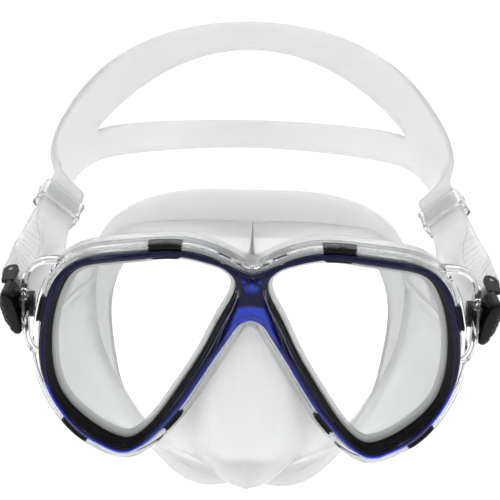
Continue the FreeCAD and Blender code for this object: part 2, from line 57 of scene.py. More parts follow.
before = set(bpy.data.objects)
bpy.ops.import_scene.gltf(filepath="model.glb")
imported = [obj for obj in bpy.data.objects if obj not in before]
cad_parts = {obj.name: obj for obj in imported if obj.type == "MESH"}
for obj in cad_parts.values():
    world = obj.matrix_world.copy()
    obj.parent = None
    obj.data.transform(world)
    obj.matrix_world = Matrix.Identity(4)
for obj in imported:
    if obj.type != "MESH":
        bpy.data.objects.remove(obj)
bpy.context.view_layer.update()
MM = 0.001

FRONT_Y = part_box("front_bezel")[0].y / MM
WRAP = math.radians(5.0)  # each eyepiece is turned back by this much
BRIDGE_HALF = 12.0  # over the bridge the turn comes in gradually

BEZEL_DEPTH = 3.2
SEAT_BACK = 9.3  # where the skirt's wall leaves its seat behind the glass
FACE_RADIUS = 90.0  # the face is a round column that lies further back lower down
FACE_TILT = 10.0 / 123.0
FACE_DEPTH = 35.0  # at the middle of the forehead edge
FACE_HALF = 80.0
FOREHEAD_Z = 56.0
SWIVEL_DEPTH = 16.6
SWIVEL_Z = 14.0
RIM_POINTS = 300  # round an eyepiece
FINER = 12  # how much finer a curve is walked before it is spaced evenly
SLIVER = 0.001  # edges shorter than this are closed up

# The same outlines as the CAD part, (x, z), clockwise: the clear view through one lens, the
# inner edge of the bezel round it, and the outer edge of the bezel on one side.
EYE = [(7.0, 29.6), (10.0, 32.6), (17, 35.2), (27, 37), (42, 35.4), (58, 33), (66.6, 30),
       (71.4, 23), (75, 10), (75.4, -4), (71.8, -18), (63, -27.8), (53, -34), (45.6, -35.4),
       (40, -31.8), (29.5, -17.7), (18.2, 1.4), (10.6, 17)]
BEZEL_INNER = [(6.2, 29.4), (9.6, 33.3), (17, 36.0), (27, 37.8), (42, 36.3), (58.3, 34.0),
               (67.6, 30.9), (72.6, 23.5), (76.6, 10), (77.6, -4), (75.6, -16.5),
               (67.2, -28.6), (56.5, -36.6), (46.4, -39.2), (38.6, -33.6), (27.8, -18.8),
               (16.4, 0.6), (9.0, 16.4)]
BEZEL_OUTER = [(0, 31.8), (7, 33.9), (15.5, 37.4), (24.5, 39.5), (33.3, 39.6), (48, 38),
               (60, 36), (68.5, 32.6), (74.4, 26.5), (78.6, 14), (80.3, 1.4), (79, -11.5),
               (73.4, -24), (62.7, -35.5), (55, -39.6), (48, -41.5), (42.5, -39.4),
               (34, -31.8), (25, -20.4), (16.1, -5.7), (7.1, 8.5), (3.4, 12.9), (0, 14.2)]
SKIRT_FACE = [(0, 43.5), (20, 42.6), (38, 39.5), (50, 35), (57, 27), (61.5, 14), (62, 0),
              (59.5, -15), (53, -29), (45, -41), (34, -53), (18, -65), (0, -63)]
LIP_OUTER = [(0, 56.2), (15, 56), (30, 53.5), (45, 47), (53, 40.5), (60, 30), (64, 16),
             (65, 2), (63, -13), (58, -28), (50.5, -42.5), (39, -56.5), (20, -69.5), (0, -66)]
LIP_INNER = [(0, 37), (20, 36), (36, 32), (47, 25.5), (53, 14), (55, 2), (54.3, -10),
             (52, -24), (48, -38), (40, -50), (28, -57), (16, -59.5), (0, -57)]


# ---------------- curves and sheets

def ease(share):
    """0 below 0, 1 above 1 and a smooth step between."""
    share = np.clip(share, 0.0, 1.0)
    return share * share * (3 - 2 * share)


def hump(value, middle, width):
    """A smooth rise to 1 at the middle."""
    return np.exp(-((value - middle) / width) ** 2)


def travelled(line):
    """Distance along a line from its start to each of its points."""
    return np.concatenate([[0], np.cumsum(np.linalg.norm(np.diff(line, axis=0), axis=1))])


def spline(points, count, closed=False):
    """Smooth curve through the points, as evenly spaced samples."""
    pts = np.array(points, float)
    if closed:
        pts = np.vstack([pts, pts[:1]])
    gap = np.linalg.norm(np.diff(pts, axis=0), axis=1)
    knot = np.concatenate([[0], np.cumsum(gap)])
    size = len(pts)
    left = np.eye(size)
    right = np.zeros_like(pts)
    for i in range(1, size - 1):
        left[i, i - 1:i + 2] = gap[i - 1], 2 * (gap[i - 1] + gap[i]), gap[i]
        right[i] = 6 * ((pts[i + 1] - pts[i]) / gap[i] - (pts[i] - pts[i - 1]) / gap[i - 1])
    if closed:
        left[0, -1] = -1
        left[-1, -1] = 2 * (gap[-1] + gap[0])
        left[-1, -2] = gap[-1]
        left[-1, 1] = gap[0]
        right[-1] = 6 * ((pts[1] - pts[0]) / gap[0] - (pts[-1] - pts[-2]) / gap[-1])
    curl = np.linalg.solve(left, right)
    fine = np.linspace(0, knot[-1], FINER * count)
    seg = np.clip(np.searchsorted(knot, fine, side="right") - 1, 0, size - 2)
    h = gap[seg][:, None]
    a = (knot[seg + 1] - fine)[:, None] / h
    b = 1 - a
    line = (a * pts[seg] + b * pts[seg + 1]
            + ((a ** 3 - a) * curl[seg] + (b ** 3 - b) * curl[seg + 1]) * h * h / 6)
    run = travelled(line)
    wanted = np.linspace(0, run[-1], count, endpoint=not closed)
    return np.stack([np.interp(wanted, run, line[:, k]) for k in range(line.shape[1])], 1)


def tangents(line, closed):
    if closed:
        step = np.roll(line, -1, 0) - np.roll(line, 1, 0)
    else:
        step = np.gradient(line, axis=0)
    return step / np.linalg.norm(step, axis=1)[:, None]


def outwards(line, closed=True):
    """Unit directions pointing out of a clockwise outline."""
    along = tangents(line, closed)
    return np.stack([-along[:, 1], along[:, 0]], 1)


def offset(line, distance, closed=True):
    """A clockwise outline moved outwards."""
    return line + outwards(line, closed) * np.reshape(distance, (-1, 1))


def swept(outline, section):
    """Rings round an outline, one for each (distance outside it, depth) of a section."""
    return [wrapped(at_depth(offset(outline, out), depth)) for out, depth in section]


def half_offset(distance, count=420):
    """The bezel's outer edge on one side moved outwards, kept on its side of the middle."""
    line = offset(spline(BEZEL_OUTER, count), distance, False)
    line[:, 0] = np.maximum(line[:, 0], 0)
    line[0, 0] = line[-1, 0] = 0
    return line


def at_depth(line, depth):
    """A flat (x, z) outline placed at a depth, as x, depth, z."""
    return np.stack([line[:, 0], np.broadcast_to(depth, len(line)), line[:, 1]], 1)


def wrapped(points):
    """From the flat layout of an eyepiece to the model, turned back round the nose."""
    x, depth, z = np.moveaxis(np.asarray(points, float), -1, 0)
    share = np.clip(x / BRIDGE_HALF, 0, 1)
    turn = WRAP * ease(share)
    inner = BRIDGE_HALF * (share ** 3 - share ** 4 / 2)
    travel = np.where(x < BRIDGE_HALF, inner, BRIDGE_HALF / 2 + x - BRIDGE_HALF)
    across = x * (1 - (1 - math.cos(WRAP)) * ease(share)) - depth * np.sin(turn)
    back = FRONT_Y + math.sin(WRAP) * (travel + BRIDGE_HALF / 2) + depth * np.cos(turn)
    return np.stack([across, back, z], -1)


def face_depth(x, z):
    """Depth of the wearer's face at a place seen from the front."""
    lean = (FOREHEAD_Z - z) * FACE_TILT
    side = np.minimum(x * x, FACE_HALF ** 2)
    return FACE_DEPTH + lean + FACE_RADIUS - np.sqrt(FACE_RADIUS ** 2 - side)


def on_face(line, lift=0.0):
    """Points on the wearer's face, or a little in front of it, in model millimetres."""
    depth = face_depth(line[:, 0], line[:, 1]) - lift
    return np.stack([line[:, 0], FRONT_Y + depth, line[:, 1]], 1)


def placed(name, data):
    """A new object in the scene."""
    thing = bpy.data.objects.new(name, data)
    bpy.context.scene.collection.objects.link(thing)
    return thing


class Shape:
    """Collects vertices and faces in millimetres for one mesh object."""

    def __init__(self):
        self.points = []
        self.faces = []
        self.total = 0

    def grid(self, points, wrap_rows=False, wrap_columns=False, skip=()):
        """Quads over a grid of points [column][row]."""
        columns, rows = points.shape[:2]
        start = self.total
        self.points.append(points.reshape(-1, 3))
        self.total += columns * rows
        for j in range(columns - (0 if wrap_columns else 1)):
            for i in range(rows - (0 if wrap_rows else 1)):
                if i in skip:
                    continue
                a = start + j * rows + i
                b = start + (j + 1) % columns * rows + i
                c = start + (j + 1) % columns * rows + (i + 1) % rows
                d = start + j * rows + (i + 1) % rows
                self.faces.append((a, b, c, d))

    def sheet(self, middle, half, normal=None, wrap_columns=False, skip=(), lift=None):
        """A sheet with thickness; half is 0 along its free edges, where both sides meet."""
        if normal is None:
            normal = normals(middle, wrap_columns)
        over = half if lift is None else half + lift
        self.grid(middle + normal * over[..., None], False, wrap_columns, skip)
        self.grid((middle - normal * half[..., None])[:, ::-1], False, wrap_columns,
                  [middle.shape[1] - 2 - i for i in skip])

    def ring(self, rings):
        """A closed tube bent round into a ring, from a closed profile: [profile][round]."""
        self.grid(np.array(rings), True, True)

    def tube(self, rings):
        """A tube through closed outlines, with a flat face over each end."""
        start = self.total
        count = rings.shape[1]
        self.grid(rings, True, False)
        self.faces.append(tuple(range(start + count - 1, start - 1, -1)))
        self.faces.append(tuple(range(self.total - count, self.total)))

    def to_side(self, side):
        """Leaves the shape on the +X side for 1 and mirrors it for -1."""
        for block in self.points:
            block[:, 0] *= side

    def mesh(self, name, both=False, weld=None):
        """A mesh in metres, with its mirror image too if both, and near points joined."""
        points = np.vstack(self.points)
        faces = list(self.faces)
        if both:
            faces += [tuple(i + len(points) for i in reversed(face)) for face in faces]
            points = np.vstack([points, mirrored(points)])
        mesh = bpy.data.meshes.new(name)
        mesh.from_pydata((points * MM).tolist(), [], faces)
        work = bmesh.new()
        work.from_mesh(mesh)
        if weld:
            bmesh.ops.remove_doubles(work, verts=work.verts, dist=weld * MM)
            bmesh.ops.dissolve_degenerate(work, edges=work.edges, dist=SLIVER * MM)
        bmesh.ops.recalc_face_normals(work, faces=work.faces)
        work.to_mesh(mesh)
        work.free()
        return mesh

    def make(self, name, body, material, both=False, sharp=40.0, weld=0.02):
        """The finished piece, smooth but for edges sharper than so many degrees."""
        mesh = self.mesh(name, both, weld)
        mesh.polygons.foreach_set("use_smooth", [True] * len(mesh.polygons))
        mesh.set_sharp_from_angle(angle=math.radians(sharp))
        mesh.update()
        piece = placed(name, mesh)
        mesh.materials.append(material)
        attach(piece, body)
        return piece


def normals(middle, wrap_columns=False):
    """Unit normals of a grid of points."""
    if wrap_columns:
        down = np.roll(middle, -1, 0) - np.roll(middle, 1, 0)
    else:
        down = np.gradient(middle, axis=0)
    over = np.gradient(middle, axis=1)
    cross = np.cross(down, over)
    length = np.linalg.norm(cross, axis=2)[..., None]
    return cross / np.maximum(length, 1e-9)


def edge_profile(rows):
    """Half thickness across a sheet as a share of the full one: rounded at both edges."""
    place = np.linspace(-1, 1, rows)
    return np.sqrt(np.maximum(0, 1 - np.abs(place) ** 12))


def mirrored(points):
    """Points taken over to the other side of the middle."""
    return points * np.array([-1, 1, 1])


# ---------------- materials

class Look:
    """The node tree of a material or of the world, and the steps it is built from."""

    def __init__(self, owner):
        owner.use_nodes = True
        self.owner = owner
        self.nodes = owner.node_tree.nodes
        self.link = owner.node_tree.links.new
        self.shader = next((n for n in self.nodes if n.type == "BSDF_PRINCIPLED"), None)

    def put(self, label, value):
        """Sets an input of the surface shader."""
        self.shader.inputs[label].default_value = value

    def noise(self, scale, detail=3.0, stretch=(1, 1, 1)):
        """Noise over the object's own coordinates."""
        place = self.nodes.new("ShaderNodeTexCoord")
        mapping = self.nodes.new("ShaderNodeMapping")
        mapping.inputs["Scale"].default_value = stretch
        texture = self.nodes.new("ShaderNodeTexNoise")
        texture.inputs["Scale"].default_value = scale
        texture.inputs["Detail"].default_value = detail
        self.link(place.outputs["Object"], mapping.inputs["Vector"])
        self.link(mapping.outputs["Vector"], texture.inputs["Vector"])
        return texture.outputs["Fac"]

    def map_range(self, value, ends_in, ends_out, smooth=False):
        """Maps one range of a value onto another."""
        spread = self.nodes.new("ShaderNodeMapRange")
        if smooth:
            spread.interpolation_type = "SMOOTHSTEP"
        for label, number in zip(("From Min", "From Max", "To Min", "To Max"), ends_in + ends_out):
            spread.inputs[label].default_value = number
        self.link(value, spread.inputs["Value"])
        return spread.outputs["Result"]

    def colour(self, value, dark, light, low=0.35, high=0.65):
        """Runs the colour from dark to light as a value goes from low to high."""
        ramp = self.nodes.new("ShaderNodeValToRGB")
        for stop, place, colour in zip(ramp.color_ramp.elements, (low, high), (dark, light)):
            stop.position = place
            stop.color = (*colour, 1)
        self.link(value, ramp.inputs["Fac"])
        self.link(ramp.outputs["Color"], self.shader.inputs["Base Color"])

    def roughness(self, value, low, high):
        """Runs the roughness from low to high over the middle of the noise's range."""
        self.link(self.map_range(value, (0.3, 0.7), (low, high)), self.shader.inputs["Roughness"])

    def bump(self, value, strength, distance):
        """Fine surface grain."""
        node = self.nodes.new("ShaderNodeBump")
        node.inputs["Strength"].default_value = strength
        node.inputs["Distance"].default_value = distance
        self.link(value, node.inputs["Height"])
        self.link(node.outputs["Normal"], self.shader.inputs["Normal"])


def new_look(name):
    """The start of a new material."""
    return Look(bpy.data.materials.new(name))


def silicone_material():
    """Milky clear silicone: light passes, but softened and a little greyed."""
    look = new_look("clear_silicone")
    look.put("Transmission Weight", 0.62)
    look.put("IOR", 1.18)
    look.put("Specular IOR Level", 0.55)
    look.colour(look.noise(18), (0.87, 0.872, 0.874), (0.905, 0.907, 0.908))
    look.roughness(look.noise(60), 0.14, 0.26)
    look.bump(look.noise(260), 0.04, 0.0003)
    return look.owner


def clear_material(name, tint_dark, tint_light, rough):
    """Clear plastic or glass with a faint tint."""
    look = new_look(name)
    look.put("Transmission Weight", 1.0)
    look.put("IOR", 1.45)
    look.colour(look.noise(25), tint_dark, tint_light)
    look.roughness(look.noise(120), rough * 0.6, rough * 1.4)
    return look.owner


def bezel_material():
    """Cobalt plastic, near-black navy, with a painted glow of bright cobalt and more transmission
    where light shows through from behind.
    """
    look = new_look("blue_translucent")
    look.put("IOR", 1.46)
    look.put("Specular IOR Level", 0.2)
    painted_backlight = look.nodes.new("ShaderNodeAttribute")
    painted_backlight.attribute_name = "painted_backlight"
    mottle_and_backlight = look.nodes.new("ShaderNodeMath")
    mottle_and_backlight.operation = "MULTIPLY_ADD"
    mottle_and_backlight.inputs[1].default_value = 0.12
    look.link(look.noise(60), mottle_and_backlight.inputs[0])
    look.link(painted_backlight.outputs["Fac"], mottle_and_backlight.inputs[2])
    # the ramp runs from near-black navy to bright cobalt, a painted glow of light shining through
    # from behind, with random mottle on top
    look.colour(mottle_and_backlight.outputs["Value"], (0.005, 0.004, 0.035), (0.012, 0.06, 0.85), 0.1, 0.95)
    clear = look.map_range(painted_backlight.outputs["Fac"], (0.0, 1.0), (0.1, 0.95))
    look.link(clear, look.shader.inputs["Transmission Weight"])
    look.roughness(look.noise(140), 0.05, 0.11)
    return look.owner


def black_material(name, rough, shade):
    """Black moulded plastic with a fine grain."""
    look = new_look(name)
    look.put("Specular IOR Level", 0.18)
    look.colour(look.noise(90), (shade, shade, shade * 1.1), (shade * 1.8, shade * 1.8, shade * 1.9))
    look.roughness(look.noise(70), rough * 0.8, rough * 1.2)
    look.bump(look.noise(900, 2.0), 0.12, 0.0002)
    return look.owner


def steel_material():
    """Bright drawn steel."""
    look = new_look("stainless_steel")
    look.put("Metallic", 1.0)
    look.colour(look.noise(200), (0.5, 0.5, 0.49), (0.68, 0.68, 0.66))
    look.roughness(look.noise(400, 2.0, (1, 8, 1)), 0.2, 0.36)
    return look.owner


SILICONE = silicone_material()
POLYCARBONATE = clear_material("clear_polycarbonate", (0.93, 0.94, 0.95), (0.96, 0.965, 0.97), 0.02)
GLASS = clear_material("tempered_glass", (0.965, 0.985, 0.975), (0.985, 0.995, 0.99), 0.006)
SLEEVE = clear_material("clear_sleeve", (0.92, 0.925, 0.93), (0.95, 0.955, 0.96), 0.12)
BLUE = bezel_material()
BLACK = black_material("black_plastic", 0.26, 0.003)
ACETAL = black_material("black_acetal", 0.4, 0.006)
STEEL = steel_material()


# ---------------- bezel

def cross_to(start, outward, target):
    """Where a ray from each start point first crosses a closed outline."""
    ends = np.roll(target, -1, 0)
    edge = ends - target
    result = []
    for place, ray in zip(start, outward):
        rel = target - place
        det = ray[0] * edge[:, 1] - ray[1] * edge[:, 0]
        det = np.where(np.abs(det) < 1e-12, 1e-12, det)
        far = (rel[:, 0] * edge[:, 1] - rel[:, 1] * edge[:, 0]) / det
        along = (rel[:, 0] * ray[1] - rel[:, 1] * ray[0]) / det
        hit = far[(along >= -1e-6) & (along <= 1 + 1e-6) & (far > 1e-6)]
        result.append(place + ray * hit.min())
    return np.array(result)


def nearest(points, line):
    """Distance from each point to a dense outline."""
    flat = points.reshape(-1, 2)
    gap = [np.sqrt(((line - p) ** 2).sum(1).min()) for p in flat]
    return np.array(gap).reshape(points.shape[:-1])


BRIDGE_MIDDLE = (0, 22.0)  # on the middle line, inside the bridge
BEZEL_ROWS = 15
EDGE_POINTS = 1200  # fine enough to measure distances to an edge
EDGE_DEPTH = 1.0  # the bezel's edges lie this far behind its front plane
OUTER_SLOPE = 0.95
INNER_SLOPE = 0.62
CREST = 1.7  # how far the crest stands forward of the edges
CREST_SOFTNESS = 0.22
OUTER_BEAD = (0.28, 1.9, 0.4)  # height, distance from the outer edge, half width
INNER_BEAD = (0.16, 1.5, 0.35)  # the same, from the inner edge
INNER_BEAD_FROM = 2.4  # it fades out where the outer edge is nearer than this
LIP_WIDTH = 1.3  # the thin inner edge that lies over the black ring
LIP_BACK = 1.45
TURN_SHORTENS = 0.0038  # share of the width that the turn takes away


def both_sides(line):
    """A flat outline and its mirror image."""
    return np.vstack([line, line * (-1, 1)])


def bezel_rise(from_outer, from_inner):
    """A soft ridge between two slopes, with a fine bead on each."""
    slopes = [from_outer * OUTER_SLOPE, from_inner * INNER_SLOPE, np.full_like(from_outer, CREST)]
    total = sum(np.exp(-s / CREST_SOFTNESS) for s in slopes)
    rise = -CREST_SOFTNESS * np.log(total) + CREST_SOFTNESS * math.log(2)
    outer_bead = OUTER_BEAD[0] * hump(from_outer, *OUTER_BEAD[1:])
    inner_bead = INNER_BEAD[0] * hump(from_inner, *INNER_BEAD[1:])
    return rise + outer_bead + inner_bead * (from_outer > INNER_BEAD_FROM)


def outer_wall(shape, wall, on_middle):
    """The wall round the outside, left out on the middle line, where the two halves meet."""
    start = shape.total
    count = len(wall)
    shape.points.append(wall.reshape(-1, 3))
    shape.total += 2 * count
    for j in range(count):
        k = (j + 1) % count
        if not (on_middle[j] and on_middle[k]):
            shape.faces.append((start + 2 * j, start + 2 * k, start + 2 * k + 1, start + 2 * j + 1))


def bezel():
    """The blue front, swept from the inner edge of a rim to its outer edge."""
    inner = spline(BEZEL_INNER, RIM_POINTS, True)
    outline = np.vstack([spline(BEZEL_OUTER, 500), [BRIDGE_MIDDLE]])
    outer = cross_to(inner, outwards(inner), outline)
    outer[outer[:, 0] < 1e-3, 0] = 0
    for corner in (BEZEL_OUTER[0], BEZEL_OUTER[-1]):
        outer[np.argmin(((outer - corner) ** 2).sum(1))] = corner
    share = (1 - np.cos(np.linspace(0, math.pi, BEZEL_ROWS))) / 2
    flat = inner[:, None] + (outer - inner)[:, None] * share[None, :, None]
    outer_edge = both_sides(spline(BEZEL_OUTER, EDGE_POINTS))
    from_outer = nearest(flat, outer_edge)
    from_inner = nearest(flat, both_sides(spline(BEZEL_INNER, EDGE_POINTS, True)))
    front = EDGE_DEPTH - bezel_rise(from_outer, from_inner)
    back = np.where(from_inner < LIP_WIDTH, LIP_BACK, BEZEL_DEPTH)
    top = wrapped(np.dstack([flat[..., 0], front, flat[..., 1]]))
    under = wrapped(np.dstack([flat[..., 0], back, flat[..., 1]]))
    shape = Shape()
    shape.grid(top, False, True)
    shape.grid(under[:, ::-1], False, True)
    shape.grid(np.stack([top[:, 0], under[:, 0]], 1), False, True)
    outer_wall(shape, np.stack([under[:, -1], top[:, -1]], 1), outer[:, 0] <= 0)
    piece = shape.make("blue_bezel", "mask", BLUE, True, 38)
    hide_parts("front_bezel")
    # paints the glow of light shining through from behind into the bezel's colour and transmission
    paint_backlight(piece, outer_edge)


def spot(x, z, height, half_width, half_height):
    """1 inside an ellipse on the middle line, fading to 0 outside it."""
    return ease(1.6 - ((x / half_width) ** 2 + ((z - height) / half_height) ** 2))


def paint_backlight(piece, edge):
    """Painted backlight: where light shows through the bezel from behind, along its flanks, below the
    bridge and at two spots, set by place rather than by thickness.
    """
    points = np.array([v.co for v in piece.data.vertices]) / MM
    x, z = np.abs(points[:, 0]), points[:, 2]
    gap = nearest(np.stack([x + TURN_SHORTENS * x, z], 1), edge)
    rim = ease((1.5 - gap) / 1.2)
    inner_flank = 0.75 * ease((17 - z) / 3) * ease((z + 44) / 3)
    outer_flank = ease((-10 - z) / 8)
    flank = rim * np.where(x < 46, inner_flank, outer_flank)
    block = ease(7.4 - x - 0.4 * (z - 14)) * ease((20.4 - z - 0.02 * x * x) / 1.2)
    upper_spots = 0.8 * spot(x, z, 27.0, 2.6, 1.3), 0.6 * spot(x, z, 29.4, 3.6, 0.5)
    # painted backlight: the strongest of the glow masks at each point
    painted_backlight = np.clip(np.maximum.reduce([flank, block, *upper_spots]), 0, 1)
    layer = piece.data.attributes.new("painted_backlight", "FLOAT", "POINT")
    layer.data.foreach_set("value", painted_backlight.astype(np.float32))


bezel()


# ---------------- lens retainers

SNAP_TABS = [(33, 39.6, 12.5), (78.6, 14, 10), (30, -27, 9.5), (66, -32.5, 12)]  # x, z, length
# Across the black ring, from the glass to the bezel: (share of the way, depth).
RING_SECTION = [(0.0, 3.15), (0.0, 2.75), (0.1, 2.5), (0.3, 2.3), (0.34, 2.0), (0.56, 1.8),
                (0.6, 1.5), (0.8, 1.25), (0.84, 1.0), (0.95, 0.9), (0.985, 1.2), (0.985, 3.15)]
# A tab is a hook over the frame and a tongue under the bezel: both as how far outside the
# bezel's edge they begin and end, and their front and back depths.
TAB_HOOK = (1.2, 2.4, 2.4, 7.0)
TAB_TONGUE = (-3.4, 1.8, 2.4, 3.2)
TAB_POINTS = 9
TAB_TAPER = 0.35


def retainer(side, name):
    """The black ring inside the bezel, sloping in to the glass, with its snap tabs."""
    eye = spline(EYE, RIM_POINTS, True)
    rim = cross_to(eye, outwards(eye), spline(BEZEL_INNER, 600, True))
    shape = Shape()
    shape.ring([wrapped(at_depth(eye + (rim - eye) * share, depth)) for share, depth in RING_SECTION])
    edge = spline(BEZEL_OUTER, 900)
    run = travelled(edge)
    for x, z, length in SNAP_TABS:
        middle = run[np.argmin(((edge - (x, z)) ** 2).sum(1))]
        for section in (TAB_HOOK, TAB_TONGUE):
            snap_tab(shape, edge, run, middle, length, section)
    shape.to_side(side)
    piece = shape.make(name + "_black_ring", "mask", BLACK, False, 35)
    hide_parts(name + "_lens_retainer")


def snap_tab(shape, edge, run, middle, length, section):
    """A short band that follows the edge of the bezel."""
    near, far, low, high = section
    places = np.linspace(middle - length / 2, middle + length / 2, TAB_POINTS)
    line = np.stack([np.interp(places, run, edge[:, k]) for k in (0, 1)], 1)
    taper = np.zeros(TAB_POINTS)
    taper[[0, -1]] = TAB_TAPER
    centre = (near + far) / 2
    rings = []
    for out, depth in ((near, low), (far, low), (far, high), (near, high)):
        shift = out + (centre - out) * taper
        rings.append(wrapped(at_depth(offset(line, shift, False), depth)))
    shape.tube(np.array(rings).transpose(1, 0, 2))


retainer(1, "left")
retainer(-1, "right")


# ---------------- clear frame

# Cross-sections as (distance outside an outline, depth): the band round the bezel's outer edge,
# and the seat round the clear view through a lens.
FRAME_SECTION = [(-1.5, 3.4), (2.3, 3.4), (3.05, 3.65), (3.4, 4.4), (3.4, 17.0), (3.1, 17.8),
                 (2.4, 18.0), (1.7, 17.8), (1.4, 17.0), (1.4, 6.2), (1.0, 5.5), (0.2, 5.3),
                 (-1.5, 5.3)]
SEAT_SECTION = [(4.0, 3.4), (5.5, 3.4), (5.5, 10.6), (5.2, 10.9), (1.3, 10.9), (1.2, 10.7),
                (1.2, 9.6), (1.35, 9.45), (4.0, 9.45)]
EAR_SPINE = [(70, 33.5), (77, 33.6), (82.5, 31.2), (85.0, 26.5), (85.25, 20), (85.25, 13),
             (85.0, 6), (83.4, 0.5), (80.6, -3.0)]
EAR_ROWS = 13
EAR_FRONT = 7.5
EAR_REAR = 12.5
EAR_BEHIND_SWIVEL = 7.2
EAR_PLATE_HALF = 7.0  # the ear is deeper this far above and below the swivel
EAR_HALF = 1.25


def main_frame():
    """The clear frame: a band round the bezel, a seat round each glass, and an ear each side."""
    shape = Shape()
    band = np.array([wrapped(at_depth(half_offset(d), w)) for d, w in FRAME_SECTION])
    shape.grid(band.transpose(1, 0, 2), True, False)
    eye = spline(EYE, RIM_POINTS, True)
    shape.ring(swept(eye, SEAT_SECTION))
    ear(shape)
    piece = shape.make("clear_frame", "mask", POLYCARBONATE, True, 35)
    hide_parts("main_frame")


def ear(shape):
    """The curved bracket at the side of the frame that carries the strap swivel."""
    spine = spline(EAR_SPINE, 60)
    share = np.linspace(0, 1, EAR_ROWS)
    height = spine[:, 1]
    front = np.full_like(height, EAR_FRONT)
    plate = SWIVEL_DEPTH + EAR_BEHIND_SWIVEL - EAR_REAR
    rear = EAR_REAR + plate * hump(height, SWIVEL_Z, EAR_PLATE_HALF)
    depth = front[:, None] + (rear - front)[:, None] * share
    middle = np.dstack([np.repeat(spine[:, :1], EAR_ROWS, 1), FRONT_Y + depth,
                        np.repeat(spine[:, 1:], EAR_ROWS, 1)])
    half = EAR_HALF * np.repeat(edge_profile(EAR_ROWS)[None], len(spine), 0)
    half[0] = half[-1] = 0
    shape.sheet(middle, half)


main_frame()


# ---------------- skirt

SKIRT_COLUMNS = 320
SKIRT_ROWS = 34
# Round the eyepiece the skirt's columns are wall from the first corner to the second, nose
# pocket to the third, and brow from there back to the first.
SKIRT_CORNERS = ((6.6, 28.5), (45.6, -37), (10.0, 14.0))
SEAT_EDGE = 0.8  # outside the clear view
SEAT_DEPTH = 8.25
SEAT_LAPS = (-1.9, 0.2)  # the seat reaches in over the rim of the glass
WALL_OUT = 3.0  # how a column leaves its seat, outwards and back
NOSE_OUT = 2.5
WALL_BACK = 14.0
NOSE_BACK = 1.0
WALL_BELLY = 0.35
SKIRT_HALF = 0.8
SEAT_HALF = 0.95
FLARE_HALF = 0.75
LIP_HALF = 0.7
LIP_EDGE_HALF = 0.55
LIP_CURL = 2.2  # how far forward the inner edge of the seal curls
LIP_LIFT = 0.8  # the seal's middle surface stands this far off the face
ON_MIDDLE = 0.05  # a point nearer to the middle line than this lies on it
FLARE_STEPS = (0.2, 0.45, 0.7, 0.9, 1.0)
FLARE_BULGE = (0.32, 0.64, 0.8, 0.48, 0.0)
# Middle line of the skirt, (depth, z): from the upper lip forward under the nose, up the front
# of the nose pocket to the bridge, and from there back to the forehead.
NOSE_LINE = [(44.7, -63.0), (36, -59.5), (24, -57.0), (12, -55.5), (3, -53.5), (-3, -49.5),
             (-5.0, -42), (-4.4, -32), (-1, -19), (4, -6), (7.5, 4), (9.6, 12)]
BROW_LINE = [(9.6, 12), (10.2, 18), (10.2, 24), (11.5, 29)]
# Half width of the nose pocket beside the middle line: (z, half width).
POCKET = [(-64, 26), (-56, 20), (-49, 18), (-42, 20.5), (-32, 20), (-20, 17.5), (-6, 12),
          (6, 6.5), (14, 4.5), (30, 7), (44, 20)]


TEMPLE_RIBS = ((9.0, 1.5, 1.0), (3.5, 1.5, 1.0), (6.2, 2.6, 0.6))  # z, half width, share
TEMPLE_RISE = 1.5
CREASE_DEPTH = 1.3
FLUTE_DEPTH = 0.5


def smoothing(points):
    """Weights of a smooth average over so many neighbours."""
    weights = np.hanning(points)
    return weights / weights.sum()


def bezier(a, b, c, d, steps):
    """Curves from a to d that leave towards b and arrive from c."""
    t = np.linspace(0, 1, steps)[:, None, None]
    return (1 - t) ** 3 * a + 3 * t * (1 - t) ** 2 * b + 3 * t * t * (1 - t) * c + t ** 3 * d


def skirt():
    """One side of the skirt, in columns from the eye's seat to the face, and its mirror image."""
    eye = spline(EYE, SKIRT_COLUMNS, True)
    loop = offset(eye, SEAT_EDGE)
    top, bottom, bridge = (np.argmin(((loop - c) ** 2).sum(1)) for c in SKIRT_CORNERS)
    loop = np.roll(loop, -top, 0)
    column = np.arange(SKIRT_COLUMNS)
    n_wall = (bottom - top) % SKIRT_COLUMNS
    n_nose = (bridge - bottom) % SKIRT_COLUMNS
    is_wall = column < n_wall
    nose_line = spline(NOSE_LINE, n_nose + 1)[1:]
    brow_line = spline(BROW_LINE, SKIRT_COLUMNS - n_wall - n_nose + 1)[1:]
    centre = np.vstack([nose_line, brow_line])
    middle = np.stack([0 * centre[:, 0], FRONT_Y + centre[:, 0], centre[:, 1]], 1)
    end = np.vstack([on_face(spline(SKIRT_FACE, n_wall)), middle])
    start = wrapped(at_depth(loop, SEAT_BACK))
    outward = at_depth(outwards(loop), 0)
    first = leaving(start, outward, is_wall, np.clip((column - n_wall) / n_nose, 0, 1))
    second = end.copy()
    second[~is_wall, 0] = np.interp(middle[:, 2], *zip(*POCKET))
    lean = end[is_wall] - first[is_wall]
    second[is_wall] = end[is_wall] - lean * WALL_BELLY - outward[is_wall] * np.array([[1.0, 0, 1.0]])
    body = bezier(start, first, second, end, SKIRT_ROWS)
    wall = skirt_details(close_roof(soften(body)), is_wall)
    seat = np.roll(swept(eye, [(lap, SEAT_DEPTH) for lap in SEAT_LAPS]), -top, 1)
    shape = Shape()
    skirt_sheets(shape, np.concatenate([seat, wall]), flare(end, middle, is_wall), is_wall)
    inner_lip(shape)
    lens_rim(shape)
    piece = shape.make("silicone_skirt", "mask", SILICONE, True, 50, 0.01)
    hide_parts("skirt")


def leaving(start, outward, is_wall, nose_share):
    """The point each column heads for as it leaves its seat; up the nose it lies less far back."""
    away = np.where(is_wall, WALL_OUT, NOSE_OUT)
    back = np.where(is_wall, WALL_BACK, WALL_BACK * (1 - ease((nose_share - 0.35) / 0.6)) + NOSE_BACK)
    wide = np.concatenate([back[-40:], back, back[:40]])
    back = np.convolve(wide, smoothing(19), "same")[40:-40]
    return start + outward * away[:, None] + np.array([0, 1.0, 0]) * back[:, None]


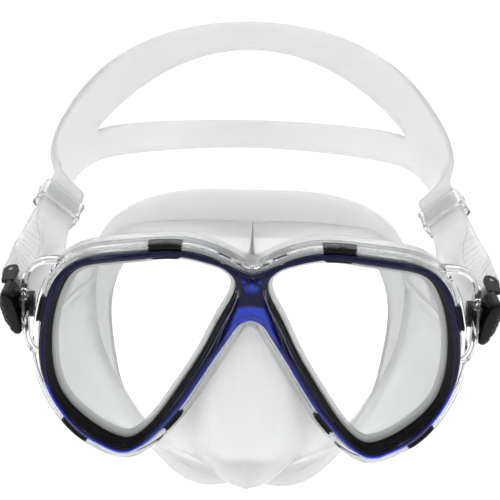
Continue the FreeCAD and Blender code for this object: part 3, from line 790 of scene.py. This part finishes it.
def flare(end, middle, is_wall):
    """The edge that lies on the face, where the wall turns outwards; the nose has none."""
    lip = np.vstack([on_face(spline(LIP_OUTER, is_wall.sum()), LIP_LIFT), middle])
    rows = np.array([end + (lip - end) * share for share in FLARE_STEPS])
    rows[:, is_wall, 1] -= np.array(FLARE_BULGE)[:, None]
    return rows


def skirt_sheets(shape, inner, outer, is_wall):
    """Gives the columns their thickness: seat, wall and, where there is one, flare."""
    inner_half = np.full(inner.shape[:2], SKIRT_HALF)
    inner_half[0] = 0
    inner_half[1:4] = SEAT_HALF
    outer_half = np.full(outer.shape[:2], FLARE_HALF)
    outer_half[-1] = 0
    grid = np.concatenate([inner, outer]).transpose(1, 0, 2)
    half = np.concatenate([inner_half, outer_half]).T
    normal = normals(grid, True)
    normal[np.abs(grid[..., 0]) < ON_MIDDLE, 0] = 0
    normal /= np.maximum(np.linalg.norm(normal, axis=2), 1e-6)[..., None]
    rows = len(inner)
    shape.sheet(grid[:, :rows], half[:, :rows], normal[:, :rows], True)
    shape.sheet(*(part[is_wall, rows - 1:] for part in (grid, half, normal)))


def soften(body):
    """Evens the surface out between neighbouring columns, most of all halfway along them."""
    reach = 14
    padded = np.concatenate([body[:, -reach:], body, body[:, :reach]], 1)
    weights = smoothing(2 * reach + 1)
    even = sum(k * padded[:, i:i + body.shape[1]] for i, k in enumerate(weights))
    share = np.sin(np.linspace(0, math.pi, len(body)))[:, None, None] ** 0.5
    return body * (1 - share) + even * share


def close_roof(body):
    """Draws the first columns above the bridge in to the middle, where the two sides meet."""
    columns = 14
    steps = np.linspace(0, 1, len(body))[:, None]
    first = np.arange(body.shape[1])[None, :]
    body[..., 0] *= 1 - (1 - ease(first / columns)) * ease(steps / 0.3)
    return body


def skirt_details(body, is_wall):
    """Moulded lines: ribs and a crease at the temples and a soft flute down the nose pocket."""
    x, y, z = body[..., 0], body[..., 1], body[..., 2]
    depth = y - FRONT_Y
    temple = ease((x - 52) / 8) * ease((depth - 16) / 8) * ease((60 - depth) / 10)
    slope = 0.12 * (depth - 30)
    ribs = sum(share * hump(z, height + slope, half) for height, half, share in TEMPLE_RIBS)
    crease = hump(depth, 34 - 0.15 * z, 2.4) * hump(z, 20, 9) * ease((x - 50) / 8)
    nose = (~is_wall)[None, :] * ease((12 - depth) / 8) * ease((-8 - z) / 10)
    flute = nose * hump(np.abs(x), 8.5, 2.0)
    body[..., 0] += TEMPLE_RISE * temple * ribs
    body[..., 0] -= CREASE_DEPTH * crease
    body[..., 1] += FLUTE_DEPTH * flute
    return body


def inner_lip(shape):
    """The soft inner edge of the face seal, which curls forward."""
    count, rows = 200, 7
    outer = spline(SKIRT_FACE, count)
    inner = spline(LIP_INNER, count)
    share = np.linspace(0, 1, rows)
    flat = outer[:, None] + (inner - outer)[:, None] * share[None, :, None]
    curl = LIP_CURL * share ** 2
    depth = face_depth(flat[..., 0], flat[..., 1]) - LIP_LIFT - curl
    middle = np.dstack([flat[..., 0], FRONT_Y + depth, flat[..., 1]])
    middle[0, :, 0] = middle[-1, :, 0] = 0
    half = np.repeat(np.array([LIP_HALF] * (rows - 2) + [LIP_EDGE_HALF, 0])[None], count, 0)
    normal = normals(middle)
    normal[0, :, 0] = normal[-1, :, 0] = 0
    shape.sheet(middle, half, normal)


RIM_SECTION = [(2.65, 3.45), (3.8, 3.45), (3.85, 9.2), (0.3, 9.25), (0.3, 7.35), (2.65, 7.35)]


def lens_rim(shape):
    """Silicone round the edge of the glass."""
    shape.ring(swept(spline(EYE, RIM_POINTS, True), RIM_SECTION))


skirt()


# ---------------- strap

ROLLER = np.array([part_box("left_strap_roller")[0][k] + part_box("left_strap_roller")[1][k]
                   for k in range(3)]) / 2 / MM
STRAP_HALF = 1.1
STRAP_WIDTH = 16.0
TAIL_TIP_WIDTH = 8.0
BUCKLE_LEAN = 12.0
KEEPER_LEAN = 50.0
TWIST = (5.0, 42.0)
TAIL_FROM = 70.0  # the tail narrows from here to its tip
KEEPER_AT = 63.0
HEAD_FROM = (70, 76)  # where the head part takes over
RIB_PITCH = 3.1
RIB_HEIGHT = 0.5
SPLIT_CORNER = (69.0, 47.5)  # (x, z) of the end of the split between the two arms
UPPER_ARM_Z = 75.4  # edges of the split at the middle of the back
LOWER_ARM_Z = 43.0
EDGE_ROUND = 1.3
STRAP_BAND = 9  # rows across each half of the strap
# The strap's end as (along the strap, out from the roller's axle), from the tip of the tail
# forward over the roller and back along the inside.
END_LOOP = [(88, 7.0), (79, 3.0), (71, 1.5), (62, 1.45), (53, 1.6), (42, 3.1), (28, 5.0),
            (13, 4.7), (0, 3.3), (-3.3, 0), (0, -3.5), (9, -7.2), (23, -8.8), (40, -4.6),
            (53, -1.6), (62, -1.45), (70, -1.45)]
# Its edges from there round the head, (x, depth, z).
LOOP_UPPER = [(84.0, 112, 50.0), (81.0, 138, 61.0), (62.5, 181, 77.0), (34, 210, 86.0),
              (0, 221, 88.5)]
LOOP_LOWER = [(76.4, 114, 30.0), (76.0, 142, 31.8), (60.0, 185, 32.0), (31, 207, 30.5),
              (0, 215, 30.0)]


def unit(vector):
    return vector / np.linalg.norm(vector, axis=-1, keepdims=True)


ALONG = unit(np.array([-0.17, 0.94, 0.30]))


def strap_axes(along):
    """Directions across the strap, towards its upper edge, and out from it."""
    share = ease((np.asarray(along, float) - TWIST[0]) / (TWIST[1] - TWIST[0]))
    lean = np.radians(BUCKLE_LEAN + (KEEPER_LEAN - BUCKLE_LEAN) * share)
    across = np.stack([np.sin(lean), 0 * lean, np.cos(lean)], -1)
    across = unit(across - ALONG * (across @ ALONG)[..., None])
    return across, unit(np.cross(np.broadcast_to(ALONG, across.shape), across))


def strap_end(rows):
    """Grid of the strap end's middle surface, its thickness direction and its rib height."""
    path = spline(END_LOOP, 420)
    travel = tangents(path, False)
    over, outward = strap_axes(path[:, 0])
    share = np.clip((path[:, 0] - TAIL_FROM) / (END_LOOP[0][0] - TAIL_FROM), 0, 1)
    share = np.where(path[:, 1] > 0, share, 0)
    width = STRAP_WIDTH - (STRAP_WIDTH - TAIL_TIP_WIDTH) * share ** 2
    centre = ROLLER + ALONG * path[:, :1] + outward * path[:, 1:]
    side = outward * travel[:, :1] - ALONG * travel[:, 1:]
    place = np.linspace(0.5, -0.5, rows)
    grid = centre[:, None] + over[:, None] * (width[:, None] * place)[..., None]
    outer_layer = (path[:, 1] > 0.5) & (path[:, 0] > 4) & (path[:, 0] < 56)
    wave = np.sin(travelled(path) * 2 * math.pi / RIB_PITCH)
    rib = np.where(outer_layer, RIB_HEIGHT * np.maximum(0, wave) ** 0.7, 0)
    fade = np.clip(np.minimum(1, 4 - 8 * np.abs(place)), 0, 1)
    return grid, side, rib[:, None] * fade


def strap_head():
    """The wide part round the head, from a keeper to the middle of the back."""
    edges = []
    over, outward = strap_axes(HEAD_FROM[0])
    for across, rest in ((STRAP_WIDTH / 2, LOOP_UPPER), (-STRAP_WIDTH / 2, LOOP_LOWER)):
        inside = ROLLER + outward * END_LOOP[-1][1] + over * across
        start = [inside + ALONG * along for along in HEAD_FROM]
        line = start + [np.array([x, FRONT_Y + d, z]) for x, d, z in rest]
        whole = np.array(line + [p * (-1, 1, 1) for p in reversed(line[:-1])])
        edges.append(spline(whole, 721)[:361])
    upper, lower = edges
    travel = unit(np.gradient(upper, axis=0) + np.gradient(lower, axis=0))
    side = unit(np.cross(travel, upper - lower))
    return upper, lower, side


def arc_height(x, middle_z):
    """Height of a circular arc from the corner of the split to a point on the middle line."""
    corner_x, corner_z = SPLIT_CORNER
    rise = middle_z - corner_z
    radius = (corner_x ** 2 + rise ** 2) / (2 * abs(rise))
    drop = radius - np.sqrt(radius ** 2 - np.minimum(x, corner_x) ** 2)
    return middle_z - np.sign(rise) * drop


def doubled(grid):
    """Rows across the strap, with the middle row twice so that the two arms can part."""
    return np.concatenate([grid[:, :STRAP_BAND], grid[:, STRAP_BAND - 1:]], 1)


def strap():
    """One grid from the tip of a tail round its roller to the back of the head, and mirrored."""
    grid, side, rib = strap_end(2 * STRAP_BAND - 1)
    upper, lower, head_side = strap_head()
    x = np.abs(upper[:, 0] + lower[:, 0]) / 2
    height = upper[:, 2] - lower[:, 2]
    top_edge = (arc_height(x, UPPER_ARM_Z) - lower[:, 2]) / height
    low_edge = (arc_height(x, LOWER_ARM_Z) - lower[:, 2]) / height
    open_now = x < SPLIT_CORNER[0]
    split = np.argmax(open_now)
    whole = np.interp(np.arange(len(x)), [0, split], [0.5, low_edge[split]])
    top_edge = np.where(open_now, top_edge, whole)
    low_edge = np.where(open_now, low_edge, whole)
    span = np.linspace(0, 1, STRAP_BAND)
    shares = np.concatenate([1 - (1 - top_edge)[:, None] * span, low_edge[:, None] * (1 - span)], 1)
    head = lower[:, None] + (upper - lower)[:, None] * shares[..., None]
    middle = np.concatenate([doubled(grid)[:-1], head])
    normal = np.concatenate([side[:-1], head_side])
    normal = np.repeat(normal[:, None], 2 * STRAP_BAND, 1)
    lift = np.concatenate([doubled(rib)[:-1], np.zeros(head.shape[:2])])
    opening = np.concatenate([np.zeros(len(grid) - 1), np.where(open_now, 1.0, 0.0)])
    half = strap_thickness(middle, opening)
    half[0] = 0
    lift[0] = 0
    shape = Shape()
    full = np.concatenate([middle, mirrored(middle[:-1][::-1])])
    full_normal = np.concatenate([normal, mirrored(normal[:-1][::-1])])
    full_half = np.concatenate([half, half[:-1][::-1]])
    full_lift = np.concatenate([lift, lift[:-1][::-1]])
    shape.sheet(full, full_half, full_normal, skip=(STRAP_BAND - 1,), lift=full_lift)
    piece = shape.make("silicone_strap", "head_strap", SILICONE, False, 50, 0.01)
    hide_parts("strap")


def strap_thickness(middle, opening):
    """Half thickness: rounded at the long edges, and at the edges of the split."""
    width = np.linalg.norm(np.diff(middle, axis=1), axis=2)
    from_top = np.concatenate([np.zeros((len(middle), 1)), np.cumsum(width, 1)], 1)
    from_low = from_top[:, -1:] - from_top
    upper_gap = from_top[:, STRAP_BAND - 1:STRAP_BAND] - from_top
    lower_gap = from_low[:, STRAP_BAND:STRAP_BAND + 1] - from_low
    to_split = np.concatenate([upper_gap[:, :STRAP_BAND], lower_gap[:, STRAP_BAND:]], 1)
    near_opening = np.convolve(opening, np.ones(3) / 3, "same")[:, None] > 0.5
    edge = np.minimum(from_top, from_low)
    edge = np.where(near_opening, np.minimum(edge, to_split), edge)
    inside = np.clip(edge / EDGE_ROUND, 0, 1)
    return STRAP_HALF * np.sqrt(1 - (1 - inside) ** 2)


strap()


# ---------------- keepers

KEEPER_HALF = 5.5
SLEEVE_POWER = 0.28  # how square the sleeve's corners are
# From one end of the sleeve to its middle: (distance from the end, half width, half gap), first
# along the outside and then along the inside.
SLEEVE_OUTSIDE = [(0, 8.75, 3.1), (0, 9.6, 4.0), (0.4, 9.8, 4.2), (1.6, 9.8, 4.2), (2.2, 9.55, 3.95)]
SLEEVE_INSIDE = (0.5, 8.6, 3.0)


def keeper(side, name):
    """A clear sleeve with rounded corners and a slightly thicker edge at both ends."""
    over, outward = strap_axes(KEEPER_AT)
    turn = np.linspace(0, 2 * math.pi, 64, endpoint=False)
    squared = [np.sign(wave) * np.abs(wave) ** SLEEVE_POWER for wave in (np.cos(turn), np.sin(turn))]

    def ring(along, width, gap):
        rim = over * (width * squared[0])[:, None] + outward * (gap * squared[1])[:, None]
        return ROLLER + ALONG * along + rim

    low, high = KEEPER_AT - KEEPER_HALF, KEEPER_AT + KEEPER_HALF
    section = [(low + step, *size) for step, *size in SLEEVE_OUTSIDE]
    section += [(high - step, *size) for step, *size in reversed(SLEEVE_OUTSIDE)]
    step, *size = SLEEVE_INSIDE
    section += [(high - step, *size), (low + step, *size)]
    shape = Shape()
    shape.ring([ring(*row) for row in section])
    shape.to_side(side)
    piece = shape.make(name + "_keeper_sleeve", name + "_keeper", SLEEVE, False, 60)
    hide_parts(name + "_strap_keeper")


keeper(1, "left")
keeper(-1, "right")


# ---------------- buckles

# All in the buckle's own directions: along the strap, out from the roller's axle, and across.
BUCKLE_ALONG = (-17.5, -5.6)
BUCKLE_FLOOR = -4.6
BUCKLE_TOP = 1.7
BUCKLE_HALF = 10.0
BUTTON_WELL = ((-14.75, -8.05), (-1.6, 8.0), (-4.95, 4.95))
GROOVES_ALONG = (-14.9, -7.8)  # the finger grooves fade out beyond these
GROOVE_PITCH = 3.3
GROOVE_SLANT = 0.35
GROOVE_DEPTH = 0.55
HALF_ROUND = 61  # points over the buckle's outside
CHEEK = (8.4, 10.0)
CHEEK_HALF = 3.0
CHEEK_ROOT = -7.6


def buckle_point(along, out, across):
    over, outward = strap_axes(0.0)
    return ROLLER + ALONG * along + outward * out + over * across


def well():
    """The hole for the release button."""
    (a0, a1), (o0, o1), (c0, c1) = BUTTON_WELL
    ends = [[buckle_point(a, o, c) for a, o in ((a0, o0), (a1, o0), (a1, o1), (a0, o1))]
            for c in (c0, c1)]
    shape = Shape()
    shape.tube(np.array(ends))
    return shape


def carve(piece, shape, side, operation):
    """Cuts or joins another closed shape."""
    shape.to_side(side)
    cutter = placed("cutter", shape.mesh("cutter"))
    step = piece.modifiers.new("carve", "BOOLEAN")
    step.operation = operation
    step.solver = "EXACT"
    step.object = cutter
    bpy.context.view_layer.update()
    seen = piece.evaluated_get(bpy.context.evaluated_depsgraph_get())
    mesh = bpy.data.meshes.new_from_object(seen)
    piece.modifiers.clear()
    piece.data = mesh
    bpy.data.objects.remove(cutter)


def buckle_ring(along, share, across, is_outer):
    """One cross-section of the buckle's body, smaller towards both ends."""
    size = max(0.02, 1 - abs(2 * share - 1) ** 7) ** 0.3
    middle = (BUCKLE_TOP + BUCKLE_FLOOR) / 2
    reach = (BUCKLE_TOP - BUCKLE_FLOOR) / 2
    rounding = np.sqrt(np.maximum(0, 1 - np.abs(across) ** 3))
    out = np.where(is_outer, middle + reach * rounding, middle - reach * rounding)
    slant = across * BUCKLE_HALF + GROOVE_SLANT * (along - BUCKLE_ALONG[0])
    groove = np.maximum(0, np.sin(slant * 2 * math.pi / GROOVE_PITCH)) ** 0.6
    fade = ease((GROOVES_ALONG[0] - along) / 0.4) + ease((along - GROOVES_ALONG[1]) / 0.4)
    grooved = is_outer & (np.abs(across) < 0.93)
    out = out - np.where(grooved, GROOVE_DEPTH * groove * np.clip(fade, 0, 1), 0)
    width = BUCKLE_HALF * (0.4 + 0.6 * size)
    return [buckle_point(along, middle + (o - middle) * size, c * width) for o, c in zip(out, across)]


def buckle(side, name):
    """An almond-shaped body with finger grooves, and two cheeks that hold the roller."""
    across = np.linspace(-1, 1, HALF_ROUND)
    across = np.concatenate([across, across[::-1][1:-1]])
    is_outer = np.arange(len(across)) < HALF_ROUND
    low, high = BUCKLE_ALONG
    rings = np.array([buckle_ring(low + (high - low) * share, share, across, is_outer)
                      for share in np.linspace(0, 1, 33)])
    shape = Shape()
    shape.tube(rings)
    shape.to_side(side)
    piece = shape.make(name + "_buckle_body", name + "_buckle", BLACK, False, 45, 0.001)
    carve(piece, well(), side, "DIFFERENCE")
    for ends in (CHEEK, (-CHEEK[1], -CHEEK[0])):
        carve(piece, cheek_plate(*ends), side, "UNION")
    piece.data.set_sharp_from_angle(angle=math.radians(45))
    piece.data.materials.clear()
    piece.data.materials.append(BLACK)
    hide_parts(name + "_buckle_housing")


def cheek_plate(low, high):
    """A plate with a round end about the roller's axle."""
    turn = np.linspace(-math.pi / 2, math.pi / 2, 25)
    outline = [(CHEEK_HALF * math.cos(t), CHEEK_HALF * math.sin(t)) for t in turn]
    outline += [(CHEEK_ROOT, CHEEK_HALF * 0.6), (CHEEK_ROOT, -CHEEK_HALF)]
    shape = Shape()
    shape.tube(np.array([[buckle_point(a, o, c) for a, o in outline] for c in (low, high)]))
    return shape


buckle(1, "left")
buckle(-1, "right")


SPRING_RADIUS = 1.3
SPRING_WIRE = 0.2
SPRING_TURNS = 3
SPRING_SPAN = (-1.37, 0.57)
BUTTON_MIDDLE = -11.4


def button_spring(side, name):
    """The coil under a release button, built at rest; the real one flattens as the button is pressed.
    """
    over, outward = strap_axes(BUTTON_MIDDLE)
    base = buckle_point(BUTTON_MIDDLE, 0, 0)
    turn = np.linspace(0, 2 * math.pi * SPRING_TURNS, 40 * SPRING_TURNS + 1)
    height = np.linspace(*SPRING_SPAN, len(turn))
    radial = over * np.cos(turn)[:, None] + ALONG * np.sin(turn)[:, None]
    centre = base + radial * SPRING_RADIUS + outward * height[:, None]
    round_wire = np.linspace(0, 2 * math.pi, 12, endpoint=False)
    rings = (centre[:, None] + SPRING_WIRE * (radial[:, None] * np.cos(round_wire)[:, None]
                                              + outward * np.sin(round_wire)[:, None]))
    shape = Shape()
    shape.tube(rings)
    shape.to_side(side)
    piece = shape.make(name + "_coil", name + "_buckle", STEEL, False, 60, 0.001)
    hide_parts(name + "_button_spring")
    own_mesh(piece)


button_spring(1, "left")
button_spring(-1, "right")


# ---------------- CAD pieces that stay

KEPT = {"lens": GLASS, "release_button": BLACK, "swivel_pin": ACETAL, "swivel_retainer": ACETAL,
        "strap_roller": ACETAL, "roller_axle": STEEL}
BEVELLED = ("release_button", "swivel_retainer", "lens")

for side_name in ("left_", "right_"):
    for node_name, finish in KEPT.items():
        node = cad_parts[side_name + node_name]
        node.data.materials.clear()
        node.data.materials.append(finish)
        if node_name in BEVELLED:
            rounding = node.modifiers.new("rounding", "BEVEL")
            rounding.width = 0.3 * MM
            rounding.segments = 3
            rounding.limit_method = "ANGLE"
            rounding.angle_limit = math.radians(50)


# ---------------- floor, light and camera

FLOOR_REACH = 5.0  # metres, as all sizes from here on
FLOOR_DROP = 0.12
FRONT_DIM = 0.06
WORLD_BRIGHT = 1.0
CAMERA_TURN = (-0.5, 16.0, 1.5)  # degrees: round the object, above it, and tipped sideways
CAMERA_TARGET = (-0.001, FRONT_Y * MM, 0.042)
CAMERA_DISTANCE = 0.8
SENSOR = 36.0  # millimetres
LENS = 155.664


def studio():
    """A plain pale floor."""
    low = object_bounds()[0].z - FLOOR_DROP
    corners = [(-FLOOR_REACH, -FLOOR_REACH, low), (FLOOR_REACH, -FLOOR_REACH, low),
               (FLOOR_REACH, FLOOR_REACH, low), (-FLOOR_REACH, FLOOR_REACH, low)]
    mesh = bpy.data.meshes.new("studio_floor")
    mesh.from_pydata(corners, [], [(0, 1, 2, 3)])
    floor = placed("studio_floor", mesh)
    look = new_look("studio_white")
    look.put("Roughness", 0.9)
    look.put("Specular IOR Level", 0.1)
    look.colour(look.noise(2), (0.94, 0.94, 0.94), (0.96, 0.96, 0.96))
    mesh.materials.append(look.owner)
    floor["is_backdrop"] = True


def area_light(name, place, size, power):
    """A rectangular lamp that faces the middle of the object."""
    data = bpy.data.lights.new(name, "AREA")
    data.shape = "RECTANGLE"
    data.size, data.size_y = size
    data.energy = power
    lamp = placed(name, data)
    lamp.location = place
    lamp.rotation_euler = (-Vector(place)).to_track_quat("-Z", "Y").to_euler()


def world_light():
    """Bright all round and above, dimmer from the front, so that clear edges read."""
    world = bpy.data.worlds.new("studio")
    bpy.context.scene.world = world
    look = Look(world)
    place = look.nodes.new("ShaderNodeTexCoord")
    split = look.nodes.new("ShaderNodeSeparateXYZ")
    look.link(place.outputs["Generated"], split.inputs["Vector"])
    behind = look.map_range(split.outputs["Y"], (-0.3, 0.35), (FRONT_DIM, WORLD_BRIGHT), True)
    above = look.map_range(split.outputs["Z"], (0.5, 0.8), (0.0, WORLD_BRIGHT), True)
    larger = look.nodes.new("ShaderNodeMath")
    larger.operation = "MAXIMUM"
    look.link(behind, larger.inputs[0])
    look.link(above, larger.inputs[1])
    background = look.nodes["Background"]
    look.link(larger.outputs["Value"], background.inputs["Strength"])
    background.inputs["Color"].default_value = (1, 1, 1, 1)


def sun(name, direction, power, spread):
    """An even light from far off, softened over so many degrees."""
    data = bpy.data.lights.new(name, "SUN")
    data.energy = power
    data.angle = math.radians(spread)
    placed(name, data).rotation_euler = Vector(direction).to_track_quat("-Z", "Y").to_euler()


def camera():
    """A long lens from in front and above."""
    azimuth, elevation, roll = (math.radians(angle) for angle in CAMERA_TURN)
    back = Vector((math.sin(azimuth) * math.cos(elevation),
                   -math.cos(azimuth) * math.cos(elevation), math.sin(elevation)))
    data = bpy.data.cameras.new("camera")
    data.sensor_width = SENSOR
    data.lens = LENS
    eye = placed("camera", data)
    look = (-back).to_track_quat("-Z", "Y").to_matrix().to_4x4()
    place = Matrix.Translation(Vector(CAMERA_TARGET) + back * CAMERA_DISTANCE)
    eye.matrix_world = place @ look @ Matrix.Rotation(roll, 4, "Z")
    bpy.context.scene.camera = eye


studio()
world_light()
sun("overhead", (0.1, -0.3, -1), 1.0, 60)
area_light("key", (-0.55, -0.8, 0.9), (0.16, 0.16), 2.4)
area_light("second", (0.6, -0.85, 0.75), (0.12, 0.12), 1.2)
area_light("left_strip", (-0.8, -0.35, 0.2), (0.04, 0.9), 1.4)
area_light("right_strip", (0.8, -0.35, 0.2), (0.04, 0.9), 1.4)
camera()
bpy.context.scene.view_settings.view_transform = "Standard"
